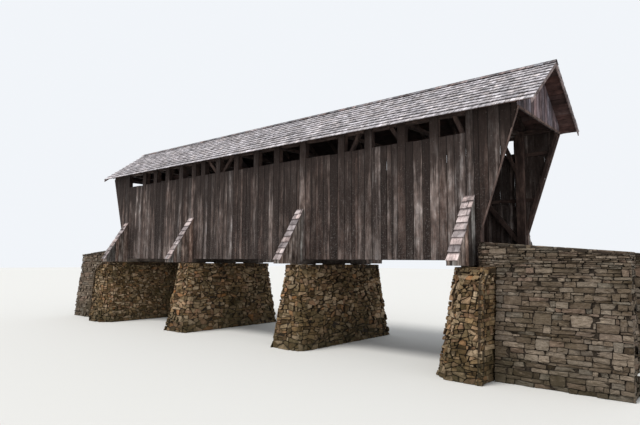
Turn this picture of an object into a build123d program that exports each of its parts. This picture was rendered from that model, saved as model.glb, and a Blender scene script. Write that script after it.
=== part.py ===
from build123d import *
import os
from itertools import accumulate
from math import atan, cos

# Covered bridge of one lane: a low timber truss over three short spans, on rubble piers and
# abutments, with boarded sides that stop short of the eaves, slanted portals, boxed buttresses
# and a shingled gable roof.
# Millimetres. X runs along the road, Y across it with the near side at -Y, Z up from the stream
# bed at zero. The near side and the right end are drawn, and mirrored for the far side and the
# left end.

# Masonry
seat_z = 2490
pier_top_length = 910
pier_top_width = 4110
pier_spread_length = 300
pier_spread_width = 360
pier_foot_rise = 350
pier_foot_length = 200
pier_foot_width = 450
pier_corner = 140
left_pier_shift = 60
right_pier_shift = 60
seat_reach = 150
abutment_batter = 400
abutment_half_width = 2700
abutment_end_batter = 200
abutment_corner = 400
shoulder_run = 300
shoulder_drop = 330
backwall_thickness = 430
backwall_gap = 40
wing_length = 2700
wing_batter = 280
parapet_thickness = 450
parapet_inner_y = 1550
parapet_near_height = 590
parapet_far_height = 340
parapet_gap = 60

# Floor
bearing_height = 30
bearing_length = 180
bearing_width = 1000
outrigger_width = 200
outrigger_height = 130
end_outrigger_shift = 110
left_outrigger_shift = -50
right_outrigger_shift = -60
stringer_width = 150
stringer_height = 270
stringer_count = 4
stringer_joint = 10
deck_thickness = 60
deck_gap = 5

# Side walls, with the panels of the truss from the left portal post to the right one, and the
# knee braces below the plate by post, run and rise
wall_y = 1686
board = 25
girt_thickness = 50
girt_height = 100
post = 150
panels = (1380, 840, 890, 940, 830, 580, 870, 1030, 1030, 990, 1160, 1540, 970, 1090, 970, 1050)
left_pier_post = 5
right_pier_post = 11
portal_post_inset = 150
sill_height = 200
plate_height = 90
siding_height = 3160
clerestory_height = 500
bottom_girt_rise = 90
mid_girt_rise = 1700
top_girt_drop = 40
full_board_width = 260
full_board_rise = 50
end_panel_length = 330
apron_length = 125
apron_drop = 110
diagonal_rise = 1330
diagonal_depth = 110
diagonal_thickness = 90
knee_depth = 110
knees = ((7, -640, 660), (7, 640, 660), (12, 560, 980), (14, -385, 510), (16, -500, 1165))

# Portals
portal_reach = 957
jamb_kink_rise = 700
portal_drop = 96
jamb_width = 100
jamb_thickness = 50
trim_thickness = 25
trim_width = 45
header_trim_height = 50
tie_width = 120
tie_every = 2

# Roof
roof_slope = 0.722
rafter_width = 60
rafter_depth = 120
rafter_heel = 40
rafter_tail = 120
rafter_tail_depth = 75
ridge_board_width = 25
ridge_board_height = 180
roof_board = 25
shingle = 45
eave_reach = 290
shingle_lip = 20
rake_reach = 432
barge_thickness = 25
barge_depth = 90
ridge_cap_width = 150
ridge_cap_thickness = 20

# Buttresses: boarded boxes over the struts that stay the walls
buttress_reach = 1030
buttress_rise = 1610
buttress_toe = 38
buttress_clearance = 10
strut_depth = 100
strut_width = 120
strut_inset = 60
cap_thickness = 30
cap_side_lip = 15
cap_toe_lip = 25

# Stations along the road
posts_span = sum(panels)
deck_half = posts_span / 2 + portal_post_inset
post_x = [station - posts_span / 2 for station in accumulate(panels, initial=0)]
outrigger_x = (
    post_x[0] + end_outrigger_shift,
    post_x[left_pier_post] + left_outrigger_shift,
    post_x[right_pier_post] + right_outrigger_shift,
    post_x[-1] - end_outrigger_shift,
)
left_pier_x = outrigger_x[1] + left_pier_shift
right_pier_x = outrigger_x[2] + right_pier_shift

# Levels, one on top of the other
beam_z = seat_z + bearing_height
floor_z = beam_z + outrigger_height
deck_z = floor_z + stringer_height
road_z = deck_z + deck_thickness
sill_z = deck_z + sill_height
siding_top_z = floor_z + siding_height
plate_z = siding_top_z + clerestory_height
plate_top_z = plate_z + plate_height
full_board_z = plate_z + full_board_rise
kink_z = floor_z + jamb_kink_rise
portal_z = plate_z - portal_drop

# Layers of a side wall, outside to inside
girt_y = wall_y - board
post_y = girt_y - girt_thickness
inner_y = post_y - post

# Ends
portal_x = deck_half + portal_reach
gable_x = portal_x - board
rake_x = portal_x + rake_reach
barge_x = rake_x - barge_thickness
end_panel_x = deck_half - end_panel_length
jamb_lean = portal_reach / (portal_z - kink_z)

# Roof: each layer's rise is its thickness measured upright
upright = 1 / cos(atan(roof_slope))
rafter_rise = rafter_depth * upright
roof_board_rise = roof_board * upright
shingle_rise = shingle * upright
barge_fall = barge_depth * upright
cap_rise = ridge_cap_thickness * upright
eave_y = wall_y + eave_reach
roof_board_y = eave_y - shingle_lip
rafter_foot_z = plate_top_z - rafter_heel
ridge_z = rafter_foot_z + roof_slope * post_y + rafter_rise + roof_board_rise + shingle_rise
shingle_under_z = ridge_z - shingle_rise
roof_board_under_z = shingle_under_z - roof_board_rise
rafter_under_z = roof_board_under_z - rafter_rise
tail_under_z = roof_board_under_z - rafter_tail_depth * upright

# Buttress outlines, from the wall outwards
toe_y = wall_y + buttress_reach
buttress_z = floor_z + buttress_rise
buttress_slope = (buttress_rise - buttress_toe) / buttress_reach
buttress_upright = 1 / cos(atan(buttress_slope))
buttress_half = outrigger_width / 2 + buttress_clearance + board
box_fall = cap_thickness * buttress_upright
inner_fall = box_fall + board * buttress_upright
outrigger_y = wall_y + (buttress_z - inner_fall - floor_z) / buttress_slope


def fall(top, y):
    """Height at y of a roof plane that starts from the ridge at the given height."""
    return top - roof_slope * y


def edge_x(z):
    """Where the siding ends at a height: upright at the foot, then leaning out to the portal."""
    return deck_half + min(max(0, z - kink_z), portal_z - kink_z) * jamb_lean


def block(x0, x1, y0, y1, z0, z1):
    """A squared timber or slab between two corners."""
    with Locations(((x0 + x1) / 2, (y0 + y1) / 2, (z0 + z1) / 2)):
        Box(abs(x1 - x0), abs(y1 - y0), abs(z1 - z0))


def near_panel(outer_y, thickness, *points):
    """A piece of the near wall, drawn in elevation, with its outer face at -outer_y."""
    with BuildSketch(Plane.XZ.offset(outer_y)) as elevation:
        with BuildLine():
            Polyline(*points, close=True)
        make_face()
    extrude(elevation.sketch, amount=-thickness)


def cross_section(x0, x1, *points):
    """A piece that runs along the road with one section."""
    with BuildSketch(Plane.YZ.offset(x0)) as section:
        with BuildLine():
            Polyline(*points, close=True)
        make_face()
    extrude(section.sketch, amount=x1 - x0)


def save(piece, name):
    piece.part.label = name
    export_step(piece.part, f"parts/{name}.step")


def save_pair(piece, name, side, other_side, about):
    """A piece and its mirror image, each in a file of its own."""
    save(piece, f"{name}_{side}")
    with BuildPart() as twin:
        mirror(piece.part, about=about)
    save(twin, f"{name}_{other_side}")


def save_sides(piece, name):
    save_pair(piece, name, "near", "far", Plane.XZ)


def save_ends(piece, name):
    save_pair(piece, name, "right", "left", Plane.YZ)


os.makedirs("parts", exist_ok=True)

# Piers, rubble masses that spread towards the stream bed and flare out at the foot
pier_courses = (
    (0, pier_spread_length + pier_foot_length, pier_spread_width + pier_foot_width),
    (pier_foot_rise, pier_spread_length, pier_spread_width),
    (seat_z, 0, 0),
)
for name, pier_x in (("left", left_pier_x), ("right", right_pier_x)):
    with BuildPart() as pier:
        for level, spread_x, spread_y in pier_courses:
            with BuildSketch(Plane((pier_x, 0, level))) as course:
                Rectangle(pier_top_length + spread_x, pier_top_width + spread_y)
                chamfer(course.vertices(), pier_corner)
        loft(ruled=True)
    save(pier, f"pier_{name}")

# Abutments: a battered face, a flat seat with sloping shoulders, and a wall behind the deck's end
seat_x = outrigger_x[-1] - seat_reach
backwall_x = deck_half + backwall_gap
abutment_back_x = backwall_x + backwall_thickness
with BuildPart() as abutment:
    for level, batter, end_batter in ((0, abutment_batter, abutment_end_batter), (seat_z, 0, 0)):
        front_x = seat_x - batter
        with BuildSketch(Plane(((front_x + abutment_back_x) / 2, 0, level))) as course:
            Rectangle(abutment_back_x - front_x, 2 * (abutment_half_width + end_batter))
            chamfer(course.vertices().group_by(Axis.X)[0], abutment_corner)
    loft(ruled=True)
    for side in (-1, 1):
        shoulder_y = side * (abutment_half_width - shoulder_run)
        beyond_y = side * (abutment_half_width + abutment_end_batter)
        beyond_z = seat_z - shoulder_drop * (1 + abutment_end_batter / shoulder_run)
        with BuildSketch(Plane.YZ.offset(seat_x)):
            with BuildLine():
                Polyline((shoulder_y, seat_z), (beyond_y, beyond_z), (beyond_y, seat_z), close=True)
            make_face()
        extrude(amount=abutment_back_x - seat_x, both=True, mode=Mode.SUBTRACT)
    block(backwall_x, abutment_back_x, -parapet_inner_y, parapet_inner_y, seat_z, road_z)
save_ends(abutment, "abutment")

# Wing walls with their parapets
parapet_x = deck_half + parapet_gap
wing_end_x = abutment_back_x + wing_length
parapet_y = parapet_inner_y + parapet_thickness
with BuildPart() as wing:
    cross_section(
        abutment_back_x,
        wing_end_x,
        (-parapet_inner_y, 0),
        (-parapet_y - wing_batter, 0),
        (-parapet_y, seat_z),
        (-parapet_inner_y, seat_z),
    )
    near_panel(
        parapet_y,
        parapet_thickness,
        (parapet_x, seat_z),
        (wing_end_x, seat_z),
        (wing_end_x, seat_z + parapet_far_height),
        (parapet_x, seat_z + parapet_near_height),
    )
with BuildPart() as far_wing:
    mirror(wing.part, about=Plane.XZ)
save_ends(wing, "wing_wall_near")
save_ends(far_wing, "wing_wall_far")

# Bearing stones under the outriggers, at the walls and in the middle
stringer_y = post_y - stringer_width / 2
stringer_rows = [stringer_y * (2 * row / (stringer_count - 1) - 1) for row in range(stringer_count)]
with BuildPart() as bearings:
    for x in outrigger_x:
        with Locations(*[(x, y, seat_z + bearing_height / 2) for y in (-stringer_y, 0, stringer_y)]):
            Box(bearing_length, bearing_width, bearing_height)
save(bearings, "bearing_stones")

# Outriggers, the cross beams that carry the floor and reach out to the buttresses
with BuildPart() as outriggers:
    with Locations(*[(x, 0, beam_z + outrigger_height / 2) for x in outrigger_x]):
        Box(outrigger_width, 2 * outrigger_y, outrigger_height)
save(outriggers, "outrigger_beams")

# Stringers, butted over the outriggers of the piers
stringer_ends = (-deck_half, outrigger_x[1], outrigger_x[2], deck_half)
with BuildPart() as stringers:
    for start, end in zip(stringer_ends, stringer_ends[1:]):
        start_x = max(start + stringer_joint / 2, -deck_half)
        end_x = min(end - stringer_joint / 2, deck_half)
        for y in stringer_rows:
            block(start_x, end_x, y - stringer_width / 2, y + stringer_width / 2, floor_z, deck_z)
save(stringers, "stringers")

# Deck, laid between the sills
deck_y = inner_y - deck_gap
with BuildPart() as deck:
    block(-deck_half, deck_half, -deck_y, deck_y, deck_z, road_z)
save(deck, "deck")

# Truss of a side wall: sill, posts, diagonals that rise towards mid-span, and plate
with BuildPart() as sill:
    block(-deck_half, deck_half, -post_y, -inner_y, deck_z, sill_z)
save_sides(sill, "sill")

portal_post_x = post_x[-1] - post / 2
with BuildPart() as posts:
    with Locations(*[(x, -(post_y + inner_y) / 2, (sill_z + plate_z) / 2) for x in post_x[1:-1]]):
        Box(post, post, plate_z - sill_z)
    for end in (-1, 1):
        block(end * portal_post_x, end * deck_half, -post_y, -inner_y, sill_z, plate_z)
save_sides(posts, "posts")

with BuildPart() as diagonals:
    for left, right in zip(post_x, post_x[1:]):
        foot_x, head_x = left + post / 2, right - post / 2
        if right > 0:
            foot_x, head_x = head_x, foot_x
        run = abs(head_x - foot_x)
        depth = diagonal_depth * (run**2 + diagonal_rise**2) ** 0.5 / run
        if left < 0 < right or depth > diagonal_rise / 2:
            continue
        near_panel(
            (post_y + inner_y + diagonal_thickness) / 2,
            diagonal_thickness,
            (foot_x, sill_z),
            (head_x, sill_z + diagonal_rise - depth),
            (head_x, sill_z + diagonal_rise),
            (foot_x, sill_z + depth),
        )
    for index, run, rise in knees:
        face_x = post_x[index] + (post / 2 if run > 0 else -post / 2)
        length = (run**2 + rise**2) ** 0.5
        near_panel(
            (post_y + inner_y + diagonal_thickness) / 2,
            diagonal_thickness,
            (face_x, plate_z - rise),
            (face_x + run, plate_z),
            (face_x + run - knee_depth * length / rise * run / abs(run), plate_z),
            (face_x, plate_z - rise + knee_depth * length / abs(run)),
        )
save_sides(diagonals, "diagonals")

with BuildPart() as plate:
    block(-gable_x, gable_x, -post_y, -inner_y, plate_z, plate_top_z)
save_sides(plate, "top_plate")

# Girts, the rails that the boards are nailed to
girt_rows = (
    (floor_z + bottom_girt_rise, girt_height),
    (floor_z + mid_girt_rise, girt_height),
    (siding_top_z - top_girt_drop - girt_height, girt_height),
    (plate_z, full_board_rise),
)
with BuildPart() as girts:
    for level, height in girt_rows:
        reach = min(edge_x(level), gable_x)
        block(-reach, reach, -girt_y, -post_y, level, level + height)
save_sides(girts, "girts")

# Slanted jambs between the portal posts and the plate
head_z = kink_z + (gable_x - deck_half) / jamb_lean
with BuildPart() as jambs:
    near_panel(
        post_y,
        jamb_thickness,
        (deck_half, kink_z),
        (gable_x, head_z),
        (gable_x, plate_z),
        (gable_x - jamb_width, plate_z),
        (gable_x - jamb_width, head_z),
        (deck_half, kink_z + jamb_width / jamb_lean),
    )
    mirror(about=Plane.YZ)
save_sides(jambs, "portal_jambs")

# Siding: one skin of upright boards, notched below the eaves between the boards over the posts
board_edges = [-end_panel_x]
for x in post_x[1:-1]:
    board_edges += [x - full_board_width / 2, x + full_board_width / 2]
board_edges.append(end_panel_x)
with BuildPart() as siding:
    with BuildSketch(Plane.XZ.offset(girt_y)):
        with BuildLine():
            Polyline(
                (0, floor_z),
                (deck_half - apron_length, floor_z),
                (deck_half - apron_length, floor_z - apron_drop),
                (deck_half, floor_z - apron_drop),
                (deck_half, kink_z),
                (portal_x, portal_z),
                (portal_x, full_board_z),
                (0, full_board_z),
                close=True,
            )
        make_face()
        mirror(about=Plane.YZ)
        for left, right in zip(board_edges[::2], board_edges[1::2]):
            with Locations(((left + right) / 2, (siding_top_z + full_board_z) / 2)):
                Rectangle(right - left, full_board_z - siding_top_z, mode=Mode.SUBTRACT)
    extrude(amount=board)
save_sides(siding, "siding")

# Gables, boarded down to the head of the portal
with BuildPart() as gable:
    cross_section(
        gable_x,
        portal_x,
        (-girt_y, portal_z),
        (girt_y, portal_z),
        (girt_y, full_board_z),
        (wall_y, full_board_z),
        (wall_y, fall(roof_board_under_z, wall_y)),
        (0, roof_board_under_z),
        (-wall_y, fall(roof_board_under_z, wall_y)),
        (-wall_y, full_board_z),
        (-girt_y, full_board_z),
    )
    with BuildSketch(Plane.YZ.offset(gable_x)):
        with Locations((0, roof_board_under_z)):
            Rectangle(ridge_board_width, 2 * ridge_board_height)
    extrude(amount=board, mode=Mode.SUBTRACT)
save_ends(gable, "gable")

# Trim over the board ends round each portal
with BuildPart() as portal_trim:
    near_panel(
        wall_y,
        trim_width,
        (deck_half, floor_z),
        (deck_half + trim_thickness, floor_z),
        (deck_half + trim_thickness, kink_z),
        (portal_x + trim_thickness, portal_z),
        (portal_x, portal_z),
        (deck_half, kink_z),
    )
    mirror(about=Plane.XZ)
    header_z = portal_z + header_trim_height
    block(portal_x, portal_x + trim_thickness, -wall_y, wall_y, portal_z, header_z)
save_ends(portal_trim, "portal_trim")

# Tie beams between the plates, over the posts and behind the gables
tie_x = post_x[::tie_every] + [end * (gable_x - tie_width / 2) for end in (-1, 1)]
with BuildPart() as ties:
    with Locations(*[(x, 0, (plate_z + plate_top_z) / 2) for x in tie_x]):
        Box(tie_width, 2 * inner_y, plate_height)
save(ties, "tie_beams")

# Rafters with a seat cut over the plate and a thinner tail: a pair beside each post, on the side
# away from mid-span, and one behind each gable
rafter_tail_y = wall_y + min(rafter_tail, eave_reach) - shingle_lip
rafter_shift = (full_board_width + rafter_width) / 2
rafter_x = [x + (rafter_shift if x > 0 else -rafter_shift) for x in post_x]
rafter_x += [end * (gable_x - rafter_width / 2) for end in (-1, 1)]
seat_y = post_y - rafter_heel / roof_slope
ridge_face_y = ridge_board_width / 2
with BuildPart() as rafters:
    for x in rafter_x:
        cross_section(
            x - rafter_width / 2,
            x + rafter_width / 2,
            (-ridge_face_y, fall(roof_board_under_z, ridge_face_y)),
            (-rafter_tail_y, fall(roof_board_under_z, rafter_tail_y)),
            (-rafter_tail_y, fall(tail_under_z, rafter_tail_y)),
            (-post_y, fall(tail_under_z, post_y)),
            (-post_y, plate_top_z),
            (-seat_y, plate_top_z),
            (-ridge_face_y, fall(rafter_under_z, ridge_face_y)),
        )
save_sides(rafters, "rafters")

# Ridge board between the rafters' heads, out to the barge boards
ridge_board_top_z = fall(roof_board_under_z, ridge_face_y)
with BuildPart() as ridge_board:
    block(
        -barge_x,
        barge_x,
        -ridge_face_y,
        ridge_face_y,
        roof_board_under_z - ridge_board_height,
        ridge_board_top_z,
    )
save(ridge_board, "ridge_board")


def roof_layer(reach, edge_y, top, rise):
    """One sloping layer of the near half of the roof."""
    cross_section(
        -reach,
        reach,
        (0, top),
        (-edge_y, fall(top, edge_y)),
        (-edge_y, fall(top, edge_y) - rise),
        (0, top - rise),
    )


with BuildPart() as roof_boards:
    roof_layer(barge_x, roof_board_y, shingle_under_z, roof_board_rise)
save_sides(roof_boards, "roof_boards")

with BuildPart() as shingles:
    roof_layer(rake_x + shingle_lip, eave_y, ridge_z, shingle_rise)
save_sides(shingles, "shingles")

# Ridge cap
with BuildPart() as ridge_cap:
    roof_layer(rake_x + shingle_lip, ridge_cap_width, ridge_z + cap_rise, cap_rise)
    mirror(about=Plane.XZ)
save(ridge_cap, "ridge_cap")

# Barge boards along the rakes
with BuildPart() as barge_boards:
    cross_section(
        barge_x,
        rake_x,
        (0, shingle_under_z),
        (-eave_y, fall(shingle_under_z, eave_y)),
        (-eave_y, fall(shingle_under_z, eave_y) - barge_fall),
        (0, shingle_under_z - barge_fall),
    )
    mirror(about=Plane.XZ)
save_ends(barge_boards, "barge_boards")

# Buttress boxes: open towards the wall and below, where the outrigger comes in
with BuildPart() as buttresses:
    for x in outrigger_x:
        for half, near_toe_y, drop, mode in (
            (buttress_half, toe_y, box_fall, Mode.ADD),
            (buttress_half - board, outrigger_y, inner_fall, Mode.SUBTRACT),
        ):
            with BuildSketch(Plane.YZ.offset(x)):
                with BuildLine():
                    Polyline(
                        (-wall_y, beam_z),
                        (-wall_y, buttress_z - drop),
                        (-near_toe_y, buttress_z - drop - buttress_slope * (near_toe_y - wall_y)),
                        (-near_toe_y, beam_z),
                        close=True,
                    )
                make_face()
            extrude(amount=half, both=True, mode=mode)
save_sides(buttresses, "buttresses")

# Struts inside the boxes, from the outriggers to the wall
strut_rise = strut_depth * buttress_upright
strut_top_z = buttress_z - inner_fall - strut_inset
strut_foot_y = wall_y + (strut_top_z - floor_z) / buttress_slope
strut_heel_y = strut_foot_y - strut_rise / buttress_slope
with BuildPart() as struts:
    for x in outrigger_x:
        cross_section(
            x - strut_width / 2,
            x + strut_width / 2,
            (-wall_y, strut_top_z),
            (-strut_foot_y, floor_z),
            (-strut_heel_y, floor_z),
            (-wall_y, strut_top_z - strut_rise),
        )
    mirror(about=Plane.XZ)
save(struts, "buttress_struts")

# Shingled covers on the slopes of the buttresses
cover_y = toe_y + cap_toe_lip
cover_half = buttress_half + cap_side_lip
with BuildPart() as covers:
    for x in outrigger_x:
        cross_section(
            x - cover_half,
            x + cover_half,
            (-wall_y, buttress_z),
            (-cover_y, buttress_z - buttress_slope * (cover_y - wall_y)),
            (-cover_y, buttress_z - box_fall - buttress_slope * (cover_y - wall_y)),
            (-wall_y, buttress_z - box_fall),
        )
save_sides(covers, "buttress_covers")
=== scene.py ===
from math import atan, cos, pi, radians, sin, sqrt

import bpy
import numpy as np
from mathutils import Matrix, Vector


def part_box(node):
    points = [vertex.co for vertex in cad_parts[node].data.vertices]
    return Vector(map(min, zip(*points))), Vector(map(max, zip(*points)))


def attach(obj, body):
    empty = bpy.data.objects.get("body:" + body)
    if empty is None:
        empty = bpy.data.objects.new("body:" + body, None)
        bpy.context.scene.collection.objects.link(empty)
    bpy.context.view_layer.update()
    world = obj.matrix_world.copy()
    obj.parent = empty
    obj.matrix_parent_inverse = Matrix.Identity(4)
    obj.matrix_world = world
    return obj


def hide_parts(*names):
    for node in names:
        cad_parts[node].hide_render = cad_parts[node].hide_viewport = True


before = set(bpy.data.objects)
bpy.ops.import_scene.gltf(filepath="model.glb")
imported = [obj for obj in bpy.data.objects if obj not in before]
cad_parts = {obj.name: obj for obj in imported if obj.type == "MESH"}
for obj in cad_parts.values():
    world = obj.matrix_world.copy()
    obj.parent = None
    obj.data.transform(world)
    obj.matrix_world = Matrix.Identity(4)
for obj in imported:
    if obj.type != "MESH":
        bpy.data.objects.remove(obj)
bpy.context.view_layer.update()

# Metres. X runs along the road, Y across it with the near side at -Y, Z up from the stream bed.

# Camera, worked out from the photograph
camera_place = (13.272, -13.617, 2.618)
camera_yaw = radians(40.178)
camera_pitch = radians(5.309)
camera_roll = radians(0.381)
camera_lens = 29.063
sensor_width = 36

# Boards. A gap or a width given as two numbers varies between them.
board_widths = (0.19, 0.31)
portal_board_widths = (0.22, 0.30)
narrow_board_widths = (0.14, 0.24)
roof_board_widths = (0.14, 0.22)
roof_board_lengths = (3.2, 4.9)
roof_board_longest = 5.5
plank_widths = (0.18, 0.26)
board_thickness = 0.020
roof_board_thickness = 0.024
board_edge = 0.003
board_play = 0.005
box_board_play = 0.003
board_gap = (0.002, 0.006)
far_gap = (0.0004, 0.0015)
plank_gap = (0.003, 0.009)
slit_gap = 0.007
slit_share = 0.06
gable_middle_gap = 0.013
toe_inset = 0.022
toe_board_stop = -0.01
full_board_drop = 0.004
siding_tones = {"full": 0.58, "portal": 0.50, "left": 0.46, "right": 0.40}

# Shingles
course_exposure = 0.205
cover_exposure = 0.208
shingle_length = 0.25
cover_shingle_length = 0.26
shingle_widths = (0.09, 0.20)
shingle_gap = (0.002, 0.010)
shingle_butt = 0.024
cover_butt = 0.019
shingle_lift = 0.016
cover_lift = 0.010
cover_cut = (-0.07, 0.07)
cover_gap = 0.004
halved_share = 0.55
ridge_margin = 0.06
ridge_board_lengths = (0.13, 0.24)
ridge_board_longest = 0.3
ridge_board_thickness = 0.015

# Masonry: the radii of the lumps that a wall is laid out in, with the share of each, or the heights
# and lengths of stones in rows. stone is the size that lumps break into, aspect how much longer than
# high it is, and play how far its face lies in or out.
rubble = dict(
    sizes=((0.26, 0.25), (0.17, 0.45), (0.10, 0.3)), stone=0.125, aspect=1.7,
    joint=0.010, bulge=0.028, tilt=0.32, play=0.07,
)
small = dict(
    sizes=((0.19, 0.25), (0.13, 0.4), (0.08, 0.35)), stone=0.095, aspect=1.5,
    joint=0.008, bulge=0.026, tilt=0.32, play=0.06,
)
coarse = dict(
    sizes=((0.28, 0.4), (0.20, 0.6)), stone=0.21, aspect=1.6,
    joint=0.010, bulge=0.03, tilt=0.2, play=0.05,
)
paving = dict(
    sizes=((0.16, 0.6), (0.09, 0.4)), stone=0.5, aspect=1.3,
    joint=0.010, bulge=0.02, tilt=0.03, play=0.008, flat=True,
)
capping = dict(
    sizes=((0.17, 0.7), (0.09, 0.3)), stone=0.5, aspect=1.6,
    joint=0.008, bulge=0.016, tilt=0.03, play=0.008, flat=True,
)
ledge = dict(
    heights=(0.028, 0.072), lengths=(0.09, 0.40), stone=0.07,
    joint=0.005, bulge=0.015, tilt=0.18, play=0.032,
)
walling = dict(
    heights=(0.045, 0.125), lengths=(0.10, 0.48), stone=0.10,
    joint=0.005, bulge=0.020, tilt=0.2, play=0.04,
)
stone_thickness = 0.13
core_inset = 0.095
sharp_stone = 26

# How lumps are scattered, and how stones are broken out of them and shaped
lump_play = (0.8, 1.2)
overfill = 1.15
tries_each = 9
crowding = 0.86
break_sizes = (0.8, 1.9)
break_places = (0.33, 0.67)
upright_slant = 0.28
level_slant = 0.16
thinnest_stone = 0.03
tall_length = 0.12
tall_share = 0.13
crumb_share = 0.3
large_share = 0.85
corner_cuts = (0.03, 0.22)
most_lean = 0.06

# How close two values count as one, how far inside a border a height is read, and how far round a
# corner of a wall its direction turns
hair = 0.002
shy = 0.001
soften = 0.004

dice = np.random.default_rng(11)


def between(limits):
    return dice.uniform(*limits)


def off(spread):
    """A small distance, to one side only."""
    return abs(dice.normal(0, spread))


def tone_near(middle, spread):
    return min(1, max(0, dice.normal(middle, spread)))


def side_name(side):
    return "near" if side < 0 else "far"


def end_name(end):
    return "left" if end < 0 else "right"


def put(name, data):
    """A new object in the scene."""
    made = bpy.data.objects.new(name, data)
    bpy.context.scene.collection.objects.link(made)
    return made


# Reading the frame


def corners(node):
    """The corner points of a node's mesh."""
    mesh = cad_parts[node].data
    points = np.zeros(len(mesh.vertices) * 3, np.float32)
    mesh.vertices.foreach_get("co", points)
    return points.reshape(-1, 3).astype(float).round(4)


def extent(points):
    return points.min(0), points.max(0)


def stations(node, axis, keep=lambda p: p[:, 0] == p[:, 0]):
    """The different values of one coordinate, in order, of the corners that keep() lets through."""
    points = corners(node)
    values = np.unique(points[keep(points)][:, axis])
    return values[np.insert(np.diff(values) > hair, 0, True)]


floor_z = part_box("stringers")[0].z
seat_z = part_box("bearing_stones")[0].z
deck_low, deck_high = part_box("deck")
deck_half = deck_high.x
road_z = deck_high.z
siding_low, siding_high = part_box("siding_near")
wall_y = -siding_low.y
portal_x = siding_high.x
full_board_z = siding_high.z
gable_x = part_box("gable_right")[0].x
portal_z = stations("siding_near", 2, lambda p: p[:, 0] > portal_x - hair)[0]
kink_z = stations("siding_near", 2, lambda p: abs(p[:, 0] - deck_half) < hair)[-1]
apron_x = stations("siding_near", 0, lambda p: p[:, 2] < siding_low.z + hair)[-2]
siding_tops = stations("siding_near", 2, lambda p: abs(p[:, 0]) < deck_half - 0.4)
siding_top_z = siding_tops[siding_tops < full_board_z - 0.1][-1]
tab_x = stations("siding_near", 0, lambda p: p[:, 2] > full_board_z - hair)
jamb_lean = (portal_x - deck_half) / (portal_z - kink_z)

shingle_low, shingle_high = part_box("shingles_near")
eave_y = -shingle_low.y
roof_x = shingle_high.x
shingle_under_z, *_, ridge_z = stations("shingles_near", 2, lambda p: abs(p[:, 1]) < hair)
eave_z = stations("shingles_near", 2, lambda p: p[:, 1] < hair - eave_y)[-1]
roof_slope = (ridge_z - eave_z) / eave_y
roof_angle = atan(roof_slope)
roof_board_low, roof_board_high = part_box("roof_boards_near")
roof_board_x = roof_board_high.x
roof_board_under_z = stations("roof_boards_near", 2, lambda p: abs(p[:, 1]) < hair)[0]

buttress_x = stations("buttress_struts", 0).reshape(-1, 2).mean(1)
cover_low, cover_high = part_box("buttress_covers_near")
box_low, box_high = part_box("buttresses_near")
cover_half = cover_high.x - buttress_x[-1]
box_half = box_high.x - buttress_x[-1]
toe_y = -box_low.y
cover_toe_y = -cover_low.y
cover_foot_z = stations("buttress_covers_near", 2, lambda p: p[:, 1] < hair - cover_toe_y)[-1]
buttress_slope = (cover_high.z - cover_foot_z) / (cover_toe_y - wall_y)
buttress_angle = atan(buttress_slope)


# Gathering many small pieces into one mesh


class Pile:
    """Small pieces of one kind in one mesh. Every point keeps its piece's tone, its place within the
    piece and how deep it lies in a joint, which sets how far grime and painted shade darken it."""

    def __init__(self):
        self.points, self.faces, self.grain, self.tone, self.depth = [], [], [], [], []
        self.count = 0

    def add(self, points, faces, grain, tone, depth):
        self.points.append(np.asarray(points, float))
        self.faces += [tuple(self.count + i for i in face) for face in faces]
        self.grain.append(np.asarray(grain, float) + dice.uniform(0, 40, 3))
        self.tone.append(np.full(len(points), tone))
        self.depth.append(np.asarray(depth, float))
        self.count += len(points)

    def mirror(self, axis):
        """Turns the pile over, to the other side of the object."""
        for points in self.points:
            points[:, axis] *= -1
        self.faces = [tuple(reversed(face)) for face in self.faces]

    def make(self, name, material, slot, *nodes, sharp=35):
        mesh = bpy.data.meshes.new(name)
        mesh.from_pydata(np.concatenate(self.points), [], self.faces)
        for label, kind, field, values in (
            ("grain", "FLOAT_VECTOR", "vector", self.grain),
            ("tone", "FLOAT", "value", self.tone),
            ("depth", "FLOAT", "value", self.depth),
        ):
            layer = mesh.attributes.new(label, kind, "POINT")
            layer.data.foreach_set(field, np.concatenate(values).ravel())
        mesh.shade_smooth()
        mesh.set_sharp_from_angle(angle=radians(sharp))
        mesh.materials.append(material)
        piece = put(name, mesh)
        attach(piece, "root")
        if nodes:
            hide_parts(*nodes)


def sleeve(rings, sides):
    """Faces that join rings of points one after another."""
    return [
        (r * sides + i, r * sides + (i + 1) % sides, (r + 1) * sides + (i + 1) % sides, (r + 1) * sides + i)
        for r in range(rings - 1)
        for i in range(sides)
    ]


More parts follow.
